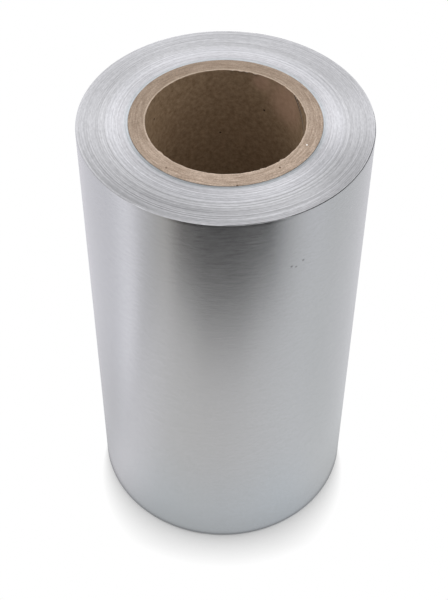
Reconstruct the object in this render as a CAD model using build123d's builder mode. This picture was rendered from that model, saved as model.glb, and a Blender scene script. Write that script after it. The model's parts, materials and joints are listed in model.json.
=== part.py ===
from build123d import *
from math import pi, radians, tan
import os

# A roll of aluminium heat seal foil: one long strip of foil wound tightly on a
# spiral-wound cardboard core. The roll stands on its end, with its axis on Z and
# the core's lower end on Z = 0. All sizes are in millimetres.

# Cardboard core
bore_diameter = 76.2  # the three inch bore that a dispenser's shaft goes through
core_wall = 8.0
core_stand_out = 0.4  # how far each end of the core stands out past the foil
ply_width = 1.3  # the edge of one glued ply of board, as it shows on a cut end
ply_step = 0.12  # how far the saw leaves every second ply below its neighbours
bore_edge = 0.4  # how far the saw and handling have eased the bore's edges

# The seam where the edges of the innermost ply meet, a helix along the bore
seam_angle = 40.0  # between the seam and the cut end, in degrees
seam_width = 0.7
seam_depth = 0.35
seam_start = 26.5  # where the seam leaves the upper end, in degrees from +X

# Wound foil
foil_width = 250.0
winding_wall = 24.9  # all the turns together, from the core's outside to the outermost one
winding_gap = 0.05  # between the core's outside and the first turn
band_width = 2.3  # the average band of turns that run level with each other
band_shares = (1.0, 1.3, 0.7, 1.4, 0.6, 1.1, 0.9)  # the bands' widths in turn, as shares of the average
lay_shift = 0.3  # how far a band of turns strays along the axis
lay_shares = (0.0, 0.75, 0.25, 1.0, 0.5)  # how much of that shift each band in turn takes
tail_step = 0.2  # how far the free end of the foil stands out from the turn under it
tail_angle = 78.0  # where the free end lies, in degrees from +X

# Sizes that follow from those above
bore_radius = bore_diameter / 2
core_radius = bore_radius + core_wall
core_length = foil_width + lay_shift + 2 * core_stand_out
first_turn_radius = core_radius + winding_gap
outermost_radius = core_radius + winding_wall
last_turn_radius = outermost_radius - tail_step
cut_past = 2.0  # how far a cutting shape runs past what it cuts


def ply_section():
    """The core's wall in the XZ plane: each cut end steps up and down, ply by ply."""
    count = max(2, round(core_wall / ply_width))
    width = core_wall / count
    lower, upper = [], []
    for ply in range(count):
        step = ply_step * (ply % 2)
        for radius in (bore_radius + ply * width, bore_radius + (ply + 1) * width):
            lower.append((radius, step))
            upper.append((radius, core_length - step))
    return lower + upper[::-1]


def band_section():
    """The wound foil in the XZ plane: bands of turns that stray a little along the axis.

    The foil has one width, so a band that stands out at the upper end is set back
    by as much at the lower one.
    """
    count = max(2, round(winding_wall / band_width))
    widths = [band_shares[band % len(band_shares)] for band in range(count)]
    scale = (outermost_radius - first_turn_radius) / sum(widths)
    lower, upper = [], []
    inner = first_turn_radius
    for band, width in enumerate(widths):
        outer = inner + width * scale if band < count - 1 else outermost_radius + cut_past
        shift = lay_shift * lay_shares[band % len(lay_shares)]
        for radius in (inner, outer):
            lower.append((radius, core_stand_out + shift))
            upper.append((radius, core_stand_out + foil_width + shift))
        inner = outer
    return lower + upper[::-1]


# The core is a tube of glued plies, sawn to length.
with BuildPart() as cardboard_core:
    with BuildSketch(Plane.XZ):
        with BuildLine():
            Polyline(*ply_section(), close=True)
        make_face()
    revolve(axis=Axis.Z)
    bore_rims = cardboard_core.edges().filter_by(GeomType.CIRCLE).group_by(SortBy.RADIUS)[0]
    chamfer(bore_rims, bore_edge)
    seam_pitch = pi * bore_diameter * tan(radians(seam_angle))
    seam_rise = core_length + 2 * cut_past
    with BuildLine(Plane.XY.offset(-cut_past)) as seam:
        Helix(seam_pitch, seam_rise, bore_radius)
    turn_at_the_top = 360 * (seam_rise - cut_past) / seam_pitch
    seam_path = seam.line.rotate(Axis.Z, seam_start - turn_at_the_top)
    foot = seam_path @ 0
    with BuildSketch(Plane(foot, x_dir=(foot.X, foot.Y, 0), z_dir=seam_path % 0)):
        Rectangle(2 * seam_depth, seam_width)
    sweep(path=seam_path, is_frenet=True, mode=Mode.SUBTRACT)
cardboard_core.part.label = "cardboard_core"

# The wound foil is one spiral strip. Its outermost turn is drawn as two half
# circles that grow by the tail's step, which ends in the strip's cut edge.
with BuildPart() as foil_winding:
    with BuildSketch(Plane.XY.rotated((0, 0, tail_angle))):
        with BuildLine():
            CenterArc((-tail_step / 4, 0), last_turn_radius + tail_step / 4, 0, 180)
            CenterArc((tail_step / 4, 0), last_turn_radius + 3 * tail_step / 4, 180, 180)
            Line((outermost_radius, 0), (last_turn_radius, 0))
        make_face()
    extrude(amount=core_length + cut_past)
    with BuildSketch(Plane.XZ):
        with BuildLine():
            Polyline(*band_section(), close=True)
        make_face()
    revolve(axis=Axis.Z, mode=Mode.INTERSECT)
foil_winding.part.label = "foil_winding"

os.makedirs("parts", exist_ok=True)
for piece in (cardboard_core, foil_winding):
    export_step(piece.part, f"parts/{piece.part.label}.step")
    print(piece.part.label, "volume", round(piece.part.volume), "box", piece.part.bounding_box())
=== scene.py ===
import json
from math import atan2, cos, hypot, pi, radians, sin, tan
import bmesh
import bpy
from mathutils import Matrix, Vector, noise


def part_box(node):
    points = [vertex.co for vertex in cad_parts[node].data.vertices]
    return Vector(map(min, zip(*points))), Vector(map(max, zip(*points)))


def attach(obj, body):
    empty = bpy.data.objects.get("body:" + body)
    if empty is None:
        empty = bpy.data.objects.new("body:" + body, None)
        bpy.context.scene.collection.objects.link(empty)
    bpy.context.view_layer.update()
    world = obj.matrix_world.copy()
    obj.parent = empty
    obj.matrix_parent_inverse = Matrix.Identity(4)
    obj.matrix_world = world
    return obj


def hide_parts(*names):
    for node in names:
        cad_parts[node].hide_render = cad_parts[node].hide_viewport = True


# A roll of aluminium heat seal foil on its cardboard core, standing on its end. Metres, +Z up.
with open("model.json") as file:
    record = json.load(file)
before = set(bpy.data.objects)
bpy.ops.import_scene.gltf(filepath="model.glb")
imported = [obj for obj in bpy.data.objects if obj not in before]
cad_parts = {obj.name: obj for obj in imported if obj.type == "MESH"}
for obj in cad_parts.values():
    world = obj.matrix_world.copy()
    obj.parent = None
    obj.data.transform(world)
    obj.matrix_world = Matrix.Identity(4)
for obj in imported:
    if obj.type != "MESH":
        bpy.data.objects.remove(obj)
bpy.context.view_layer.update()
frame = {"record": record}

MM = 0.001

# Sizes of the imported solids
core_low, core_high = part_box("cardboard_core")
foil_low, foil_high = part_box("foil_winding")
CORE_RADIUS = (core_high.x - core_low.x) / 2
CORE_TOP = core_high.z
CORE_BOTTOM = core_low.z
BORE_RADIUS = frame["record"]["mounts"][0]["dims"]["r_mm"] * MM
FOIL_TOP = foil_high.z
FOIL_BOTTOM = foil_low.z
OUTERMOST_RADIUS = foil_high.x

# Sizes that the solids have too, but that their boxes don't tell
WINDING_GAP = 0.05 * MM      # between the core's outside and the first turn
TAIL_STEP = 0.2 * MM         # how far the foil's free end stands out from the turn under it
TAIL_ANGLE = radians(78.0)   # where the free end lies, from +X
FIRST_TURN_RADIUS = CORE_RADIUS + WINDING_GAP

# Tolerances
ON_WALL = 0.01 * MM          # a vertex nearer to a wall or an end than this lies on it
SAME_PLACE = 0.002 * MM      # vertices nearer to each other than this are one
LOOKS_UP = 0.5               # a face looks up or down where its normal's Z is past this


def linear(hex_colour):
    """An sRGB hex colour as the linear RGBA that shader sockets take."""
    channels = [int(hex_colour[i:i + 2], 16) / 255 for i in (1, 3, 5)]
    return [c / 12.92 if c <= 0.04045 else ((c + 0.055) / 1.055) ** 2.4 for c in channels] + [1.0]


def add_node(tree, kind, settings=None, **links):
    """Adds a node. Settings are its properties, and links set or join its inputs by name or number."""
    node = tree.nodes.new(kind)
    for name, value in (settings or {}).items():
        setattr(node, name, value)
    for name, value in links.items():
        key = int(name[1:]) if name[0] == "i" and name[1:].isdigit() else name.replace("_", " ")
        if isinstance(value, bpy.types.NodeSocket):
            tree.links.new(value, node.inputs[key])
        else:
            node.inputs[key].default_value = value
    return node


def new_material(name):
    """A material with an empty node tree and its output node."""
    material = bpy.data.materials.new(name)
    material.use_nodes = True
    material.node_tree.nodes.clear()
    return material, material.node_tree, material.node_tree.nodes.new("ShaderNodeOutputMaterial")


# Camera: the photograph's viewing angle, worked out from the roll's rims, bore, sides and foot
CAMERA_PLACE = Vector((1.0, -467.5, 637.8)) * MM
CAMERA_PITCH = radians(47.665)
CAMERA_YAW = radians(0.117)
CAMERA_ROLL = radians(0.543)
CAMERA_LENS_MM = 76.46
CAMERA_SENSOR_MM = 36


def make_camera():
    """The camera stands in front of the roll and looks down on it."""
    data = bpy.data.cameras.new("camera")
    data.lens = CAMERA_LENS_MM
    data.sensor_width = CAMERA_SENSOR_MM
    data.clip_start = 10 * MM
    camera = bpy.data.objects.new("camera", data)
    turn = Matrix.Rotation(CAMERA_YAW, 4, "Z") @ Matrix.Rotation(pi / 2 - CAMERA_PITCH, 4, "X")
    turn = turn @ Matrix.Rotation(CAMERA_ROLL, 4, "Z")
    camera.matrix_world = Matrix.Translation(CAMERA_PLACE) @ turn
    bpy.context.scene.collection.objects.link(camera)
    bpy.context.scene.camera = camera


make_camera()


def object_from(bm, name, materials):
    """Makes a bmesh an object at the origin, with its materials."""
    mesh = bpy.data.meshes.new(name)
    bm.to_mesh(mesh)
    bm.free()
    for material in materials:
        mesh.materials.append(material)
    piece = bpy.data.objects.new(name, mesh)
    bpy.context.scene.collection.objects.link(piece)
    return piece


def spread(x, y, z=0.0):
    """Smooth noise from 0 to 1."""
    return 0.5 + 0.5 * noise.noise(Vector((x, y, z)))


ROW_CROWDING = 0.8           # 0 is even rows


def crowded(height, low, high):
    """The height that a row of vertices moves to, so that the rows lie closest at both ends."""
    length = high - low
    return height - ROW_CROWDING * length * sin(2 * pi * (height - low) / length) / (2 * pi)


# The wound foil
END_RINGS = 118
FOIL_STEPS = 288
SIDE_ROWS = 31
RIM_ROUNDING = 0.6 * MM
RIM_SEGMENTS = 4
TAIL_BLEND = 0.8 * MM        # the growth towards the tail fades over this depth below the outermost turn

# How far the edges of the turns stray along the axis, in millimetres
BAND_STRAY = 0.16
BUNDLE_STRAY = 0.09
FINE_STRAY = 0.05
GROOVE_DEPTH = 0.05
UPPER_LAY = 0.0              # each end has its own place in the noise
LOWER_LAY = 5.5
# The first turns rise to the core's rim
RISE_WIDTH = 0.8 * MM
RISE_SHARE = 0.8
# The upper end is also very slightly wavy
WAVE_LENGTH = 18 * MM
WAVE_HEIGHT = 0.03 * MM


def lay_of_turns(radius, end):
    """How far the foil's edge is set back at this radius: bands of turns that stray a little."""
    r = radius / MM
    # Each kind has its width in millimetres and its own row of the noise
    bands = spread(r / 2.1, 3.7, end)
    bundles = spread(r / 0.55, 9.1, end)
    fine = spread(r / 0.3, 1.3, end)
    groove = max(0.0, 1 - abs(noise.noise(Vector((r / 1.25, 5.3, end)))) / 0.1)
    near_core = max(0.0, 1 - (radius - FIRST_TURN_RADIUS) / RISE_WIDTH)
    set_back = BAND_STRAY * bands + BUNDLE_STRAY * bundles + FINE_STRAY * fine + GROOVE_DEPTH * groove
    return set_back * (1 - RISE_SHARE * near_core) * MM


def wound_foil(materials):
    """All the turns of the foil, spun from one section. The outermost turn ends in a tail."""
    bm = bmesh.new()
    wall = OUTERMOST_RADIUS - TAIL_STEP
    middle = (FOIL_TOP + FOIL_BOTTOM) / 2
    corners = ((FIRST_TURN_RADIUS, FOIL_BOTTOM), (wall, FOIL_BOTTOM),
               (wall, FOIL_TOP), (FIRST_TURN_RADIUS, FOIL_TOP))
    section = [bm.verts.new((radius, 0, height)) for radius, height in corners]
    bm.faces.new(section)
    bmesh.ops.bevel(bm, geom=section[1:3], offset=RIM_ROUNDING, affect="VERTICES", segments=RIM_SEGMENTS,
                    profile=0.5, material=-1)
    bmesh.ops.delete(bm, geom=bm.faces[:], context="FACES_ONLY")
    ends = [e for e in bm.edges if abs(e.verts[0].co.z - e.verts[1].co.z) < ON_WALL]
    bmesh.ops.subdivide_edges(bm, edges=ends, cuts=END_RINGS)
    side = [e for e in bm.edges if min(v.co.x for v in e.verts) > wall - ON_WALL]
    bmesh.ops.subdivide_edges(bm, edges=side, cuts=SIDE_ROWS)
    for vert in bm.verts:
        if vert.co.x > wall - ON_WALL:
            vert.co.z = crowded(vert.co.z, FOIL_BOTTOM + RIM_ROUNDING, FOIL_TOP - RIM_ROUNDING)
        radius = min(vert.co.x, wall - RIM_ROUNDING) + TAIL_STEP
        if vert.co.z > middle:
            vert.co.z -= lay_of_turns(radius, UPPER_LAY)
        else:
            vert.co.z += lay_of_turns(radius, LOWER_LAY)
    spun = bmesh.ops.spin(bm, geom=bm.verts[:] + bm.edges[:], cent=(0, 0, 0), axis=(0, 0, 1),
                          dvec=(0, 0, 0), angle=2 * pi, steps=FOIL_STEPS, use_merge=False)
    # The outermost turns grow all the way round, up to the tail's step
    last = {g for g in spun["geom_last"] if isinstance(g, bmesh.types.BMVert)}
    for vert in bm.verts:
        radius = hypot(vert.co.x, vert.co.y)
        turned = 1.0 if vert in last else (atan2(vert.co.y, vert.co.x) % (2 * pi)) / (2 * pi)
        share = max(0.0, 1 - (wall - radius) / TAIL_BLEND)
        grown = 1 + TAIL_STEP * turned * share / radius
        vert.co.x *= grown
        vert.co.y *= grown
    bmesh.ops.remove_doubles(bm, verts=bm.verts[:], dist=SAME_PLACE)
    tail = [edge for edge in bm.edges if edge.is_boundary]
    bmesh.ops.holes_fill(bm, edges=tail, sides=0)
    bmesh.ops.rotate(bm, verts=bm.verts[:], cent=(0, 0, 0), matrix=Matrix.Rotation(TAIL_ANGLE, 3, "Z"))
    for vert in bm.verts:
        x, y, z = vert.co / WAVE_LENGTH
        if vert.co.z > middle:
            vert.co.z -= WAVE_HEIGHT * spread(x, y, z)
    bmesh.ops.recalc_face_normals(bm, faces=bm.faces[:])
    for face in bm.faces:
        face.smooth = True
        face.material_index = 1 if abs(face.normal.z) > LOOKS_UP else 0
    return object_from(bm, "foil_winding_turns", materials)


# The cardboard core
CORE_STEPS = 288
CORE_PLIES = 6
RINGS_A_PLY = 5
BORE_ROWS = 150
OUTSIDE_ROWS = 60
COLUMN_CROWDING = 0.8        # the columns of vertices lie closest along the seam

# The sawn ends: how far they are set back, in millimetres, and the size of their streaks and fuzz
PLY_WIDTH = (CORE_RADIUS - BORE_RADIUS) / CORE_PLIES
PLY_STRAY = 0.10
STRAYS_A_PLY = 1.7
STREAK_STRAY = 0.10
STREAK_LENGTH = 5 * MM
STREAK_WIDTH = MM / 1.8
FUZZ_STRAY = 0.07
FUZZ_LENGTH = 0.9 * MM
FUZZ_WIDTH = MM / 3.3
EASING = 0.15                # at the bore's and the outside's edges
EASED_WIDTH = 0.5 * MM
PALE_TOP_DEPTH = 0.9 * MM       # how far down its outside the board is as pale as the sawn end: partly a paler edge, partly painted light over the shade there
SAWN_DEPTH = 0.2 * MM        # about how far the sawn surface lies below the core's highest point

# The seam of the innermost ply in the bore
SEAM_ANGLE = radians(40.0)
SEAM_PITCH = 2 * pi * BORE_RADIUS * tan(SEAM_ANGLE)
SEAM_START = radians(29.0)
SEAM_HALF_WIDTH = 0.5 * MM
SEAM_DEPTH = 0.5 * MM
LAP_PLACE = -1.6 * MM        # the edge that laps over stands in a little, on one side of the seam
LAP_HALF_WIDTH = 1.2 * MM
LAP_HEIGHT = 0.10 * MM
# The shadow painted along the seam
SEAM_SHADOW_HALF_WIDTH = 2.16 * MM
SEAM_SHADOW_FADE = 0.9 * MM
SEAM_SHADOW_LENGTH = 38 * MM

# The lip of the bore, ragged all round, with a few frays that hang in at these degrees from +X
LIP_DEPTH = 1.6 * MM
RAG_LENGTH = 1.7 * MM
RAG_HEIGHT = 0.245 * MM
LIP_FRAYS = (85.5, 79.3, 74.5, 68.0, -47.3, -63.5, -140.6)
FRAY_HALF_WIDTH = 1.2 * MM
FRAY_HEIGHT = 0.85 * MM


def seam_at(height):
    """The angle from +X at which the innermost ply's seam lies at this height."""
    return SEAM_START - 2 * pi * (CORE_TOP - height) / SEAM_PITCH


def sawn_back(x, y, radius, upper):
    """How far the saw has set the core's end back here: by ply, in streaks, in fuzz and at eased edges."""
    level = spread(radius / PLY_WIDTH * STRAYS_A_PLY, 2.0 + upper)
    streak = spread(x / STREAK_LENGTH, y / STREAK_LENGTH, radius / STREAK_WIDTH)
    fuzz = spread(x / FUZZ_LENGTH, y / FUZZ_LENGTH, radius / FUZZ_WIDTH)
    eased = max(0.0, 1 - min(radius - BORE_RADIUS, CORE_RADIUS - radius) / EASED_WIDTH) ** 2
    return (PLY_STRAY * level + STREAK_STRAY * streak + FUZZ_STRAY * fuzz + EASING * eased) * MM


def hangs_in(x, y, z, angle, near_lip):
    """How far the bore's lip hangs into the bore here: ragged all round, and frayed in a few places."""
    hanging = RAG_HEIGHT * near_lip * noise.noise(Vector((x, y, z)) / RAG_LENGTH)
    if z > CORE_TOP / 2:
        for fray in LIP_FRAYS:
            away = (angle - radians(fray) + pi) % (2 * pi) - pi
            hanging += FRAY_HEIGHT * near_lip * max(0.0, 1 - abs(away) * BORE_RADIUS / FRAY_HALF_WIDTH)
    return hanging


def cardboard_tube(materials):
    """The core: a tube of glued plies, spun from its wall's section and twisted to follow the seam."""
    bm = bmesh.new()
    painted_seam_shadow = bm.verts.layers.float.new("painted_seam_shadow")
    corners = ((BORE_RADIUS, CORE_BOTTOM), (CORE_RADIUS, CORE_BOTTOM),
               (CORE_RADIUS, CORE_TOP), (BORE_RADIUS, CORE_TOP))
    section = [bm.verts.new((radius, 0, height)) for radius, height in corners]
    lower_end, outside, upper_end, bore = [bm.edges.new((section[i], section[(i + 1) % 4])) for i in range(4)]
    bmesh.ops.subdivide_edges(bm, edges=[lower_end, upper_end], cuts=CORE_PLIES * RINGS_A_PLY - 1)
    bmesh.ops.subdivide_edges(bm, edges=[bore], cuts=BORE_ROWS)
    bmesh.ops.subdivide_edges(bm, edges=[outside], cuts=OUTSIDE_ROWS)
    for vert in bm.verts:
        vert.co.z = crowded(vert.co.z, CORE_BOTTOM, CORE_TOP)
    bmesh.ops.spin(bm, geom=bm.verts[:] + bm.edges[:], cent=(0, 0, 0), axis=(0, 0, 1),
                   dvec=(0, 0, 0), angle=2 * pi, steps=CORE_STEPS, use_merge=True)
    bmesh.ops.remove_doubles(bm, verts=bm.verts[:], dist=SAME_PLACE)
    for vert in bm.verts:
        radius = hypot(vert.co.x, vert.co.y)
        from_seam = atan2(vert.co.y, vert.co.x)
        from_seam -= COLUMN_CROWDING * sin(from_seam)
        z = vert.co.z
        angle = from_seam + seam_at(z)
        x, y = radius * cos(angle), radius * sin(angle)
        upper = z > CORE_TOP / 2
        from_end = min(CORE_TOP - z, z - CORE_BOTTOM)
        if from_end < ON_WALL:
            set_back = sawn_back(x, y, radius, upper)
            z += -set_back if upper else set_back
        if radius < BORE_RADIUS + ON_WALL:
            arc = from_seam * BORE_RADIUS
            gap = max(0.0, 1 - abs(arc) / SEAM_HALF_WIDTH)
            lap = max(0.0, 1 - abs(arc - LAP_PLACE) / LAP_HALF_WIDTH)
            # A shadow is painted dark onto the board on both sides of the seam, strongest near the ends
            shadow_near_seam = max(0.0, min(1.0, (SEAM_SHADOW_HALF_WIDTH - abs(arc)) / SEAM_SHADOW_FADE))
            vert[painted_seam_shadow] = shadow_near_seam * max(0.0, 1 - from_end / SEAM_SHADOW_LENGTH)
            near_lip = max(0.0, 1 - from_end / LIP_DEPTH)
            radius += SEAM_DEPTH * gap - LAP_HEIGHT * lap - hangs_in(x, y, z, angle, near_lip)
        vert.co = Vector((radius * cos(angle), radius * sin(angle), z))
    bmesh.ops.recalc_face_normals(bm, faces=bm.faces[:])
    for edge in bm.edges:
        first, second = edge.link_faces
        edge.smooth = abs(abs(first.normal.z) - abs(second.normal.z)) < LOOKS_UP
    for face in bm.faces:
        face.smooth = True
        place = face.calc_center_median()
        # The outside's top takes the paler sawn-end board: partly a paler edge, partly painted light over its
        # shade
        pale_top = hypot(place.x, place.y) > CORE_RADIUS - 0.1 * MM and place.z > CORE_TOP - PALE_TOP_DEPTH
        face.material_index = 1 if abs(face.normal.z) > LOOKS_UP or pale_top else 0
    return object_from(bm, "cardboard_core_tube", materials)


# Settings that many nodes share
SMOOTH = {"interpolation_type": "SMOOTHSTEP"}
RGB_MIX = {"data_type": "RGBA"}
TINT = {"data_type": "RGBA", "blend_type": "MULTIPLY"}
TIMES = {"operation": "MULTIPLY"}
MINUS = {"operation": "SUBTRACT"}
ABSOLUTE = {"operation": "ABSOLUTE"}
SCALED = {"operation": "SCALE"}
DOT = {"operation": "DOT_PRODUCT"}


def millimetres(tree, coordinates):
    """Object coordinates in millimetres."""
    return add_node(tree, "ShaderNodeVectorMath", SCALED, i0=coordinates, Scale=1 / MM).outputs[0]


def radius_of(tree, mm):
    """The distance from the roll's axis, in millimetres."""
    flat = add_node(tree, "ShaderNodeVectorMath", TIMES, i0=mm, i1=(1, 1, 0)).outputs[0]
    return add_node(tree, "ShaderNodeVectorMath", {"operation": "LENGTH"}, i0=flat).outputs["Value"]


def ahead_of_axis(tree, mm):
    """How far forward of the roll's axis a place lies, in millimetres. Behind the axis this is negative."""
    return add_node(tree, "ShaderNodeVectorMath", DOT, i0=mm, i1=(0, -1, 0)).outputs["Value"]


def way_round(tree, coordinates):
    """The tangent that runs round the roll's axis, along the turns."""
    return add_node(tree, "ShaderNodeVectorMath", {"operation": "CROSS_PRODUCT"}, i0=(0, 0, 1),
                    i1=coordinates).outputs[0]


def long_lines(tree, mm, across, per_mm, along_mm, detail, rough):
    """Fine lines side by side: so many to a millimetre across, and each about so many millimetres long."""
    slow = add_node(tree, "ShaderNodeVectorMath", SCALED, i0=mm, Scale=1 / along_mm).outputs[0]
    quick = add_node(tree, "ShaderNodeMath", TIMES, i0=across, i1=per_mm).outputs[0]
    return add_node(tree, "ShaderNodeTexNoise", {"noise_dimensions": "4D"}, Vector=slow, W=quick, Scale=1.0,
                    Detail=detail, Roughness=rough).outputs["Fac"]


def angle_from_front(tree, mm):
    """The angle round the roll's axis in degrees: 0 in front, more to the right, less to the left."""
    split = add_node(tree, "ShaderNodeSeparateXYZ", i0=mm)
    ahead = add_node(tree, "ShaderNodeMath", TIMES, i0=split.outputs["Y"], i1=-1.0).outputs[0]
    angle = add_node(tree, "ShaderNodeMath", {"operation": "ARCTAN2"}, i0=split.outputs["X"], i1=ahead)
    return add_node(tree, "ShaderNodeMath", {"operation": "DEGREES"}, i0=angle.outputs[0]).outputs[0]


def tones_along(tree, measure, tones):
    """Tones that blend from place to place. Each is its place, in the measure's own units, and its colour."""
    first, last = tones[0][0], tones[-1][0]
    share = add_node(tree, "ShaderNodeMapRange", Value=measure, From_Min=first, From_Max=last)
    ramp = add_node(tree, "ShaderNodeValToRGB", Fac=share.outputs["Result"])
    ramp.color_ramp.interpolation = "CARDINAL"
    for place, tone in tones[1:-1]:
        ramp.color_ramp.elements.new((place - first) / (last - first)).color = linear(tone)
    ramp.color_ramp.elements[0].color = linear(tones[0][1])
    ramp.color_ramp.elements[-1].color = linear(tones[-1][1])
    return ramp.outputs[0]


def spots(tree, mm, places):
    """Small marks: 1 in their inner third, 0 outside. Each is its x, y, z and radius in millimetres."""
    found = None
    for x, y, z, size in places:
        away = add_node(tree, "ShaderNodeVectorMath", {"operation": "DISTANCE"}, i0=mm, i1=(x, y, z))
        spot = add_node(tree, "ShaderNodeMapRange", SMOOTH, Value=away.outputs["Value"], From_Min=size * 0.3,
                        From_Max=size, To_Min=1.0, To_Max=0.0).outputs["Result"]
        if found is not None:
            spot = add_node(tree, "ShaderNodeMath", {"operation": "MAXIMUM"}, i0=found, i1=spot).outputs[0]
        found = spot
    return found


def on_side(angle, height, size):
    """A place on the outermost turn, by its angle from +X in degrees and its height in millimetres."""
    radius = OUTERMOST_RADIUS / MM
    return radius * cos(radians(angle)), radius * sin(radians(angle)), height, size


# Small dents in the side, not shaped: their shade is painted as dark spots in the foil's colour
SIDE_DENT_SHADES = [on_side(-64.1, 217.8, 0.9), on_side(-62.2, 216.7, 0.8), on_side(-59.2, 219.3, 0.9),
              on_side(-98.9, 242.4, 0.7)]


def foil_face():
    """Rolled aluminium foil, lacquered: satin, with fine rolling lines that run round the roll."""
    material, tree, output = new_material("rolled_aluminium_foil")
    place = add_node(tree, "ShaderNodeTexCoord").outputs["Object"]
    mm = millimetres(tree, place)
    height = add_node(tree, "ShaderNodeSeparateXYZ", i0=mm).outputs["Z"]
    # Real rolling lines are hundreds to a millimetre: these are as coarse as the picture needs to show any
    lines = long_lines(tree, mm, height, per_mm=0.9, along_mm=7, detail=3.5, rough=0.85)
    shade = add_node(tree, "ShaderNodeMapRange", Value=lines, From_Min=0.3, From_Max=0.7).outputs["Result"]
    colour = add_node(tree, "ShaderNodeMix", RGB_MIX, i0=shade, i6=linear("#C4C4C5"),
                      i7=linear("#C8C8C9")).outputs[2]
    # Each line and pit scatters a little light, which shows most where the foil mirrors something dark
    polish = add_node(tree, "ShaderNodeMapRange", Value=lines, From_Min=0.38, From_Max=0.62, To_Min=1.0,
                      To_Max=0.86).outputs["Result"]
    # Pits between the lines, as coarse as the picture needs too
    pits = long_lines(tree, mm, height, per_mm=1.4, along_mm=1.6, detail=2.0, rough=0.7)
    shade = add_node(tree, "ShaderNodeMapRange", Value=pits, From_Min=0.3, From_Max=0.7, To_Min=1.01,
                     To_Max=0.99).outputs["Result"]
    colour = add_node(tree, "ShaderNodeHueSaturation", Value=shade, Color=colour).outputs[0]
    pitted = add_node(tree, "ShaderNodeMapRange", Value=pits, From_Min=0.35, From_Max=0.7, To_Min=1.0,
                      To_Max=0.86).outputs["Result"]
    polish = add_node(tree, "ShaderNodeMath", TIMES, i0=polish, i1=pitted).outputs[0]
    # Painted shade of the dents
    dent_shade = spots(tree, mm, SIDE_DENT_SHADES)
    colour = add_node(tree, "ShaderNodeMix", RGB_MIX, i0=dent_shade, i6=colour, i7=linear("#989899")).outputs[2]
    # The rounded rims are worn bright, so they mirror more sharply than the side
    middle = (FOIL_TOP + FOIL_BOTTOM) / 2 / MM
    to_rim = (FOIL_TOP - FOIL_BOTTOM) / 2 / MM
    from_middle = add_node(tree, "ShaderNodeMath", MINUS, i0=height, i1=middle).outputs[0]
    from_middle = add_node(tree, "ShaderNodeMath", ABSOLUTE, i0=from_middle).outputs[0]
    rough = add_node(tree, "ShaderNodeMapRange", SMOOTH, Value=from_middle, From_Min=to_rim - 1.0,
                     From_Max=to_rim - 0.7, To_Min=0.225, To_Max=0.1).outputs["Result"]
    bump = add_node(tree, "ShaderNodeBump", Strength=0.4, Distance=0.1 * MM, Height=lines)
    # The lines stretch a reflection across themselves, up and down the roll
    metal = add_node(tree, "ShaderNodeBsdfPrincipled", Base_Color=colour, Metallic=polish, Roughness=rough,
                     Anisotropic=0.5, Anisotropic_Rotation=0.25, Normal=bump.outputs[0],
                     Tangent=way_round(tree, place))
    tree.links.new(metal.outputs[0], output.inputs[0])
    return material


# The tones of the turns' edges, by radius in millimetres: blue-grey at the core, palest in the inner third
EDGE_TONES = (
    (46.15, "#D2D8DE"), (47.0, "#D8DCE1"), (48.6, "#DEDEE3"), (52.8, "#E6E6EB"), (55.2, "#E3E3E8"),
    (58.0, "#D9D9DD"), (66.0, "#D4D4D8"), (69.2, "#D6D6DA"), (71.0, "#DEDEE2"))
# Reflection painted into the turns' edges, by the angle from the front: lighter or darker round the roll as
# the studio's light falls there
PAINTED_EDGE_REFLECTION = (
    (-180, "#F9F9F9"), (-150, "#FFFFFF"), (-120, "#F3F3F3"), (-90, "#FFFFFF"), (-60, "#EAEAEA"),
    (-30, "#DCDCDC"), (0, "#E8E8E8"), (30, "#F8F8F8"), (60, "#E0E0E0"), (90, "#FFFFFF"),
    (120, "#F0F0F0"), (150, "#F5F5F5"), (180, "#F9F9F9"))


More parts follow.
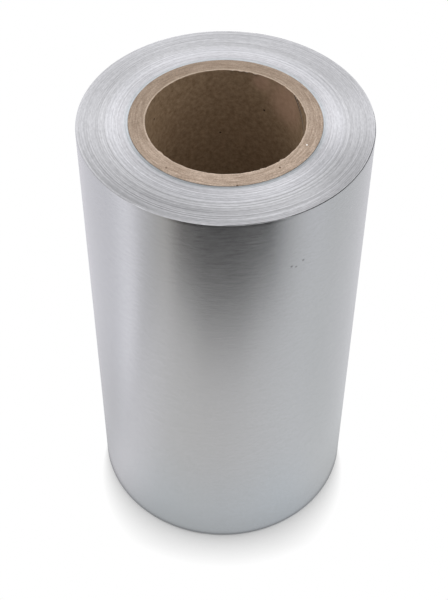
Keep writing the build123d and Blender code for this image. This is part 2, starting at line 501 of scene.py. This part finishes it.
def foil_edges():
    """The slit edges of the foil's turns: bright satin grey, with a ring for each bundle that strays."""
    material, tree, output = new_material("slit_foil_edges")
    place = add_node(tree, "ShaderNodeTexCoord").outputs["Object"]
    mm = millimetres(tree, place)
    radius = radius_of(tree, mm)
    tones = tones_along(tree, radius, EDGE_TONES)
    # The studio's reflection, painted onto the edges' colour by the angle round the roll
    painted_reflection = tones_along(tree, angle_from_front(tree, mm), PAINTED_EDGE_REFLECTION)
    tones = add_node(tree, "ShaderNodeMix", TINT, i0=1.0, i6=tones, i7=painted_reflection).outputs[2]
    # Foil is thinner than a tenth of a millimetre: single turns can't show, so the rings are bundles of turns
    rings = long_lines(tree, mm, radius, per_mm=1.6, along_mm=130, detail=3.0, rough=0.8)
    # They stand out most in front, next most behind, and least at the sides: painted light, for how the rings
    # catch the studio's light round the roll
    forward = ahead_of_axis(tree, mm)
    in_front = add_node(tree, "ShaderNodeMapRange", Value=forward, From_Min=0.0, From_Max=60.0, To_Min=0.5,
                        To_Max=1.35).outputs["Result"]
    behind = add_node(tree, "ShaderNodeMapRange", Value=forward, From_Min=0.0, From_Max=-60.0, To_Min=0.5,
                      To_Max=0.8).outputs["Result"]
    contrast = add_node(tree, "ShaderNodeMath", {"operation": "MAXIMUM"}, i0=in_front, i1=behind).outputs[0]
    shade = add_node(tree, "ShaderNodeMapRange", Value=rings, From_Min=0.35, From_Max=0.65, To_Min=-0.28,
                     To_Max=0.23).outputs["Result"]
    shade = add_node(tree, "ShaderNodeMath", {"operation": "MULTIPLY_ADD"}, i0=shade, i1=contrast,
                     i2=1.0).outputs[0]
    # In front, the first turns lie a little in the shade of the core's rim
    by_core = add_node(tree, "ShaderNodeMapRange", SMOOTH, Value=radius, From_Min=46.0, From_Max=49.0,
                       To_Min=0.32, To_Max=0.0).outputs["Result"]
    shaded_side = add_node(tree, "ShaderNodeMapRange", SMOOTH, Value=forward, From_Min=5.0,
                           From_Max=44.0).outputs["Result"]
    shaded = add_node(tree, "ShaderNodeMath", TIMES, i0=by_core, i1=shaded_side).outputs[0]
    shade = add_node(tree, "ShaderNodeMath", MINUS, i0=shade, i1=shaded).outputs[0]
    colour = add_node(tree, "ShaderNodeHueSaturation", Value=shade, Color=tones).outputs[0]
    # Burrs that the slitting knife has left break the rings up
    burrs = long_lines(tree, mm, radius, per_mm=1.6, along_mm=2.5, detail=2.0, rough=0.7)
    shade = add_node(tree, "ShaderNodeMapRange", Value=burrs, From_Min=0.3, From_Max=0.7, To_Min=0.86,
                     To_Max=1.1).outputs["Result"]
    colour = add_node(tree, "ShaderNodeHueSaturation", Value=shade, Color=colour).outputs[0]
    # The outermost turns are worn as bright as the rims
    rim = OUTERMOST_RADIUS / MM
    rough = add_node(tree, "ShaderNodeMapRange", SMOOTH, Value=radius, From_Min=rim - 0.8, From_Max=rim - 0.6,
                     To_Min=0.38, To_Max=0.1).outputs["Result"]
    bump = add_node(tree, "ShaderNodeBump", Strength=0.5, Distance=0.2 * MM, Height=rings)
    metal = add_node(tree, "ShaderNodeBsdfPrincipled", Base_Color=colour, Metallic=1.0, Roughness=rough,
                     Anisotropic=0.7, Anisotropic_Rotation=0.25, Normal=bump.outputs[0],
                     Tangent=way_round(tree, place))
    tree.links.new(metal.outputs[0], output.inputs[0])
    return material


BOARD_ROUGHNESS = 0.9


def on_bore(angle, height, size):
    """A place on the bore's wall, by its angle from +X in degrees and its height in millimetres."""
    radius = BORE_RADIUS / MM
    return radius * cos(radians(angle)), radius * sin(radians(angle)), height, size


# A paler, redder patch near the rim at the right: partly the board's own tint, partly a painted pool of light
# where the lamp reaches into the bore
LINER_STAINS_AND_LIGHT = [on_bore(38.0, 241.0, 17.0), on_bore(62.0, 247.0, 8.0)]
LINER_STAIN_AND_LIGHT_STRENGTH = 0.55
LINER_SPECKS = [on_bore(59.7, 230.0, 0.9), on_bore(94.2, 211.0, 0.8), on_bore(156.1, 238.0, 0.9)]


def board_face():
    """Kraft liner of the tube: brown, matt, with mottled pulp."""
    material, tree, output = new_material("kraft_board_liner")
    mm = millimetres(tree, add_node(tree, "ShaderNodeTexCoord").outputs["Object"])
    # Clouds of pulp are about two millimetres across
    pulp = add_node(tree, "ShaderNodeTexNoise", Vector=mm, Scale=0.45, Detail=6.0, Roughness=0.7)
    pulp = pulp.outputs["Fac"]
    shade = add_node(tree, "ShaderNodeMapRange", Value=pulp, From_Min=0.3, From_Max=0.7).outputs["Result"]
    colour = add_node(tree, "ShaderNodeMix", RGB_MIX, i0=shade, i6=linear("#7D664C"),
                      i7=linear("#AC9378")).outputs[2]
    # Partly redder board, partly painted light
    stain_and_light = spots(tree, mm, LINER_STAINS_AND_LIGHT)
    stain_and_light = add_node(tree, "ShaderNodeMath", TIMES, i0=stain_and_light, i1=LINER_STAIN_AND_LIGHT_STRENGTH).outputs[0]
    colour = add_node(tree, "ShaderNodeMix", RGB_MIX, i0=stain_and_light, i6=colour, i7=linear("#C29E88")).outputs[2]
    speck = spots(tree, mm, LINER_SPECKS)
    colour = add_node(tree, "ShaderNodeMix", RGB_MIX, i0=speck, i6=colour, i7=linear("#3A2A1C")).outputs[2]
    # The seam's painted shadow
    dark_by_seam = add_node(tree, "ShaderNodeAttribute", {"attribute_name": "painted_seam_shadow"}).outputs["Fac"]
    colour = add_node(tree, "ShaderNodeMix", RGB_MIX, i0=dark_by_seam, i6=colour, i7=linear("#20140C")).outputs[2]
    bump = add_node(tree, "ShaderNodeBump", Strength=0.4, Distance=0.1 * MM, Height=pulp)
    board = add_node(tree, "ShaderNodeBsdfPrincipled", Base_Color=colour, Roughness=BOARD_ROUGHNESS,
                     Normal=bump.outputs[0])
    tree.links.new(board.outputs[0], output.inputs[0])
    return material


def on_core_end(angle, radius, size):
    """A place on the core's upper end, by its angle from +X in degrees and its radius in millimetres."""
    return radius * cos(radians(angle)), radius * sin(radians(angle)), (CORE_TOP - SAWN_DEPTH) / MM, size


DARK_FLECKS = [on_core_end(-53.3, 41.7, 0.8), on_core_end(-83.0, 46.0, 0.7), on_core_end(-127.7, 43.6, 0.7)]
PALE_FLECKS = [on_core_end(-24.9, 41.6, 0.6)]
PAINTED_SHADE_WAY = (-0.35, 0.94, 0)   # the way across the core's end toward which shade is painted, as the light falls from the other side


def board_end():
    """The sawn end of the tube: paler, with its plies' edges in broken streaks and a frayed lip, paler for
    its fray and a painted highlight.
    """
    material, tree, output = new_material("kraft_board_sawn_end")
    mm = millimetres(tree, add_node(tree, "ShaderNodeTexCoord").outputs["Object"])
    radius = radius_of(tree, mm)
    # The plies are 1.3 mm wide, and the saw has broken their edges into streaks of about a centimetre
    plies = long_lines(tree, mm, radius, per_mm=1.2, along_mm=9, detail=4.0, rough=0.8)
    shade = add_node(tree, "ShaderNodeMapRange", Value=plies, From_Min=0.34, From_Max=0.66).outputs["Result"]
    colour = add_node(tree, "ShaderNodeMix", RGB_MIX, i0=shade, i6=linear("#8E7B6B"),
                      i7=linear("#C2AF9F")).outputs[2]
    # Torn fibres, in tufts of under a millimetre
    fibres = add_node(tree, "ShaderNodeTexNoise", Vector=mm, Scale=1.3, Detail=4.0, Roughness=0.8)
    shade = add_node(tree, "ShaderNodeMapRange", Value=fibres.outputs["Fac"], From_Min=0.3, From_Max=0.7,
                     To_Min=0.66, To_Max=1.3).outputs["Result"]
    colour = add_node(tree, "ShaderNodeHueSaturation", Value=shade, Color=colour).outputs[0]
    fleck = spots(tree, mm, DARK_FLECKS)
    colour = add_node(tree, "ShaderNodeMix", RGB_MIX, i0=fleck, i6=colour, i7=linear("#5B4838")).outputs[2]
    fleck = spots(tree, mm, PALE_FLECKS)
    colour = add_node(tree, "ShaderNodeMix", RGB_MIX, i0=fleck, i6=colour, i7=linear("#FFFDF8")).outputs[2]
    # Painted shade: the core's end is darker toward the back left, away from the light
    along_shade_way = add_node(tree, "ShaderNodeVectorMath", DOT, i0=mm, i1=PAINTED_SHADE_WAY).outputs["Value"]
    painted_end_shade = add_node(tree, "ShaderNodeMapRange", SMOOTH, Value=along_shade_way, From_Min=-38.0, From_Max=38.0,
                    To_Max=0.4).outputs["Result"]
    colour = add_node(tree, "ShaderNodeMix", RGB_MIX, i0=painted_end_shade, i6=colour, i7=linear("#6F6050")).outputs[2]
    # The lip is painted paler: partly frayed fibres, partly a painted highlight on its edge
    lip_begins = BORE_RADIUS / MM + 0.4
    lip_ends = BORE_RADIUS / MM + 0.9
    lip = add_node(tree, "ShaderNodeMapRange", SMOOTH, Value=radius, From_Min=lip_begins, From_Max=lip_ends,
                   To_Min=0.5, To_Max=0.0).outputs["Result"]
    colour = add_node(tree, "ShaderNodeMix", RGB_MIX, i0=lip, i6=colour, i7=linear("#CDBBA9")).outputs[2]
    bump = add_node(tree, "ShaderNodeBump", Strength=0.5, Distance=0.2 * MM, Height=plies)
    board = add_node(tree, "ShaderNodeBsdfPrincipled", Base_Color=colour, Roughness=BOARD_ROUGHNESS,
                     Normal=bump.outputs[0])
    tree.links.new(board.outputs[0], output.inputs[0])
    return material


turns = wound_foil([foil_face(), foil_edges()])
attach(turns, "root")
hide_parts("foil_winding")

tube = cardboard_tube([board_face(), board_end()])
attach(tube, "root")
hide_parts("cardboard_core")


# Floor, white surroundings and studio light

# The room isn't modelled: what the foil's side mirrors of it is drawn as tones of the floor that only glossy
# rays meet. They go by the angle from the front: near the foot, and farther off, where the front is dark
NEAR_FLOOR = (
    (-180, "#D8D6DC"), (-90, "#C6C6CA"), (-65, "#D8D8DC"), (-35, "#CECECE"), (0, "#CCCCCC"),
    (45, "#D0D2D4"), (85, "#CACCCE"), (180, "#D8D6DC"))
FAR_FLOOR = (
    (-180, "#D8D6DC"), (-90, "#D6D6DC"), (-72, "#ECECF2"), (-62, "#CECED2"), (-50, "#B6B6B6"),
    (-40, "#A4A29E"), (-31, "#484440"), (-20, "#201E1C"), (0, "#121212"), (15, "#1E1E1E"),
    (31, "#1C1C1C"), (39, "#808284"), (50, "#B4B6B8"), (65, "#CCCED2"), (90, "#C6C8CA"), (180, "#D8D6DC"))
MIRRORED_STRENGTH = 1.32
SHADED_BY_FOOT = 0.84        # the share of that strength close to the foot
FLOOR_HALF_SIZE = 3.0


def floor_paper():
    """White paper: it keeps the soft shadow round the foot, and beyond it the camera sees it plain white."""
    material, tree, output = new_material("white_floor_paper")
    mm = millimetres(tree, add_node(tree, "ShaderNodeTexCoord").outputs["Object"])
    radius = radius_of(tree, mm)
    path = add_node(tree, "ShaderNodeLightPath")
    angle = angle_from_front(tree, mm)
    # The shadow reaches farthest in front, and hardly past the foot at the sides
    faded = add_node(tree, "ShaderNodeMapRange", Value=ahead_of_axis(tree, mm), From_Min=0.0, From_Max=76.0,
                     To_Min=69.0, To_Max=91.5).outputs["Result"]
    away = add_node(tree, "ShaderNodeMapRange", Value=radius, From_Min=68.5, From_Max=faded)
    lifted = add_node(tree, "ShaderNodeMath", TIMES, i0=away.outputs["Result"],
                      i1=path.outputs["Is Camera Ray"]).outputs[0]
    paper = add_node(tree, "ShaderNodeBsdfDiffuse", Color=linear("#E2E2E2"))
    white = add_node(tree, "ShaderNodeEmission", Color=(1, 1, 1, 1), Strength=1.0)
    seen = add_node(tree, "ShaderNodeMixShader", i0=lifted, i1=paper.outputs[0], i2=white.outputs[0])
    # The far floor begins nearer to the foot at the left than in front
    begins = add_node(tree, "ShaderNodeMapRange", Value=angle, From_Min=-75.0, From_Max=-40.0, To_Min=65.0,
                      To_Max=180.0).outputs["Result"]
    ends = add_node(tree, "ShaderNodeMapRange", Value=angle, From_Min=-75.0, From_Max=-40.0, To_Min=165.0,
                    To_Max=305.0).outputs["Result"]
    # The dark floor in front comes nearest to the foot in its middle
    from_middle = add_node(tree, "ShaderNodeMath", ABSOLUTE, i0=angle).outputs[0]
    later = add_node(tree, "ShaderNodeMapRange", SMOOTH, Value=from_middle, From_Min=8.0, From_Max=34.0,
                     To_Max=32.0).outputs["Result"]
    reach = add_node(tree, "ShaderNodeMath", MINUS, i0=radius, i1=later).outputs[0]
    beyond = add_node(tree, "ShaderNodeMapRange", SMOOTH, Value=reach, From_Min=begins, From_Max=ends)
    near = tones_along(tree, angle, NEAR_FLOOR)
    far = tones_along(tree, angle, FAR_FLOOR)
    tones = add_node(tree, "ShaderNodeMix", RGB_MIX, i0=beyond.outputs["Result"], i6=near, i7=far).outputs[2]
    # Right in front of the foot the paper looks a little cooler
    cool = add_node(tree, "ShaderNodeMapRange", SMOOTH, Value=radius, From_Min=82.0, From_Max=135.0,
                    To_Min=1.0, To_Max=0.0).outputs["Result"]
    toward_front = add_node(tree, "ShaderNodeMapRange", SMOOTH, Value=from_middle, From_Min=30.0,
                            From_Max=70.0, To_Min=1.0, To_Max=0.0).outputs["Result"]
    cool = add_node(tree, "ShaderNodeMath", TIMES, i0=cool, i1=toward_front).outputs[0]
    tones = add_node(tree, "ShaderNodeMix", TINT, i0=cool, i6=tones, i7=linear("#F5FBFF")).outputs[2]
    # The roll shades the floor close to its foot, and darkest where it stands on it
    strength = add_node(tree, "ShaderNodeMapRange", SMOOTH, Value=radius, From_Min=70.0, From_Max=92.0,
                        To_Min=MIRRORED_STRENGTH * SHADED_BY_FOOT, To_Max=MIRRORED_STRENGTH).outputs["Result"]
    touching = add_node(tree, "ShaderNodeMapRange", SMOOTH, Value=radius, From_Min=71.0, From_Max=73.5,
                        To_Min=0.5, To_Max=1.0).outputs["Result"]
    strength = add_node(tree, "ShaderNodeMath", TIMES, i0=strength, i1=touching).outputs[0]
    mirrored = add_node(tree, "ShaderNodeEmission", Color=tones, Strength=strength)
    both = add_node(tree, "ShaderNodeMixShader", i0=path.outputs["Is Glossy Ray"], i1=seen.outputs[0],
                    i2=mirrored.outputs[0])
    tree.links.new(both.outputs[0], output.inputs[0])
    return material


def make_floor():
    """The sheet of paper that the roll stands on."""
    bm = bmesh.new()
    bmesh.ops.create_grid(bm, x_segments=2, y_segments=2, size=FLOOR_HALF_SIZE)
    floor = object_from(bm, "floor", [floor_paper()])


def make_card(name, corners, strength):
    """A card that only the foil's reflections see, by its four corners in order."""
    bm = bmesh.new()
    bm.faces.new([bm.verts.new(corner) for corner in corners])
    material, tree, output = new_material(name + "_paint")
    tree.links.new(add_node(tree, "ShaderNodeEmission", Strength=strength).outputs[0], output.inputs[0])
    card = object_from(bm, name, [material])
    card.visible_camera = False
    card.visible_diffuse = False
    card.visible_shadow = False


DIFFUSE_SHARE = 0.32         # how much of the white surroundings lights the board and the floor


def make_world():
    """White surroundings. The board and the floor get less of them than the eye does."""
    world = bpy.data.worlds.new("white_surroundings")
    bpy.context.scene.world = world
    world.use_nodes = True
    tree = world.node_tree
    tree.nodes.clear()
    path = add_node(tree, "ShaderNodeLightPath")
    seen = add_node(tree, "ShaderNodeMath", {"operation": "MAXIMUM"}, i0=path.outputs["Is Camera Ray"],
                    i1=path.outputs["Is Glossy Ray"]).outputs[0]
    seen = add_node(tree, "ShaderNodeMath", {"operation": "MAXIMUM"}, i0=seen,
                    i1=path.outputs["Is Transmission Ray"]).outputs[0]
    strength = add_node(tree, "ShaderNodeMapRange", Value=seen, To_Min=DIFFUSE_SHARE,
                        To_Max=1.0).outputs["Result"]
    back = add_node(tree, "ShaderNodeBackground", Color=(1, 1, 1, 1), Strength=strength)
    tree.links.new(back.outputs[0], add_node(tree, "ShaderNodeOutputWorld").inputs[0])


def soft_box(name, place, aim, size, watts):
    """A soft box: a square lamp turned towards the roll. It lights the board and the floor."""
    data = bpy.data.lights.new(name, "AREA")
    data.size = size
    data.energy = watts
    lamp = bpy.data.objects.new(name, data)
    direction = Vector(aim) - Vector(place)
    lamp.matrix_world = Matrix.Translation(place) @ direction.to_track_quat("-Z", "Y").to_matrix().to_4x4()
    lamp.visible_glossy = False
    bpy.context.scene.collection.objects.link(lamp)


make_floor()
make_world()
make_card("dark_flag_in_front", [(0.0, -1.15, 0.8), (1.1, -1.15, 0.8), (1.1, -0.6, 1.7), (0.0, -0.6, 1.7)],
          strength=0.02)
make_card("dark_flag_at_right", [(1.1, -1.15, 0.1), (1.1, 1.5, 0.1), (1.1, 1.5, 0.8), (1.1, -1.15, 2.1)],
          strength=0.03)
make_card("bright_card_at_left", [(-0.9, -0.65, 0.65), (-0.7, -0.25, 0.65), (-0.7, -0.25, 1.05),
                                  (-0.9, -0.65, 1.05)], strength=2.2)
soft_box("left_soft_box", (-0.75, 0.2, 0.8), aim=(0, 0, 0.1), size=0.6, watts=2.6)
soft_box("right_soft_box", (0.75, 0.1, 0.8), aim=(0, 0, 0.1), size=0.6, watts=2.2)
soft_box("overhead_soft_box", (0.1, -0.1, 1.25), aim=(0, 0, 0), size=0.9, watts=7.0)
bpy.context.scene.view_settings.view_transform = "Standard"
